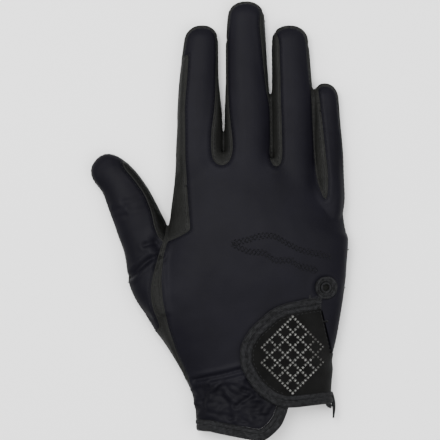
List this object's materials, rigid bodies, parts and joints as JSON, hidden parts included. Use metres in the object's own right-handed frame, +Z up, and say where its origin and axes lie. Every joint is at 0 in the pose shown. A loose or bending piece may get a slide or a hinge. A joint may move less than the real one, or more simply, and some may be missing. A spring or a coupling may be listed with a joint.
{
  "type": "horse riding glove",
  "caption": "Right-hand riding glove lying palm down, stretch back, leather palm, bound wrist slit and a D-shaped strap with small stones.",
  "frame": {"origin": "middle of the bottom of the glove's box, on the surface it lies on", "axes": "+Z up out of the back of the hand, +Y towards the fingertips, -X towards the thumb"},
  "size_m": [0.1396, 0.2388, 0.0265],
  "materials": {
    "fabric": "stretch knit with a soft sheen",
    "leather": "fine grained matt leather",
    "suede": "matt black microfibre",
    "binding": "ribbed elastic tape",
    "stones": "small grey cut stones"
  },
  "bodies": {
    "root": {"back_panel": "fabric", "palm_panel": "leather", "fourchette_index_middle": "leather", "fourchette_middle_ring": "leather", "fourchette_ring_little": "leather", "thumb_back": "fabric", "thumb_front": "leather", "cuff_binding": "binding", "strap_flap": "suede", "flap_binding": "binding", "closure_pad": "suede"}
  },
  "joints": []
}
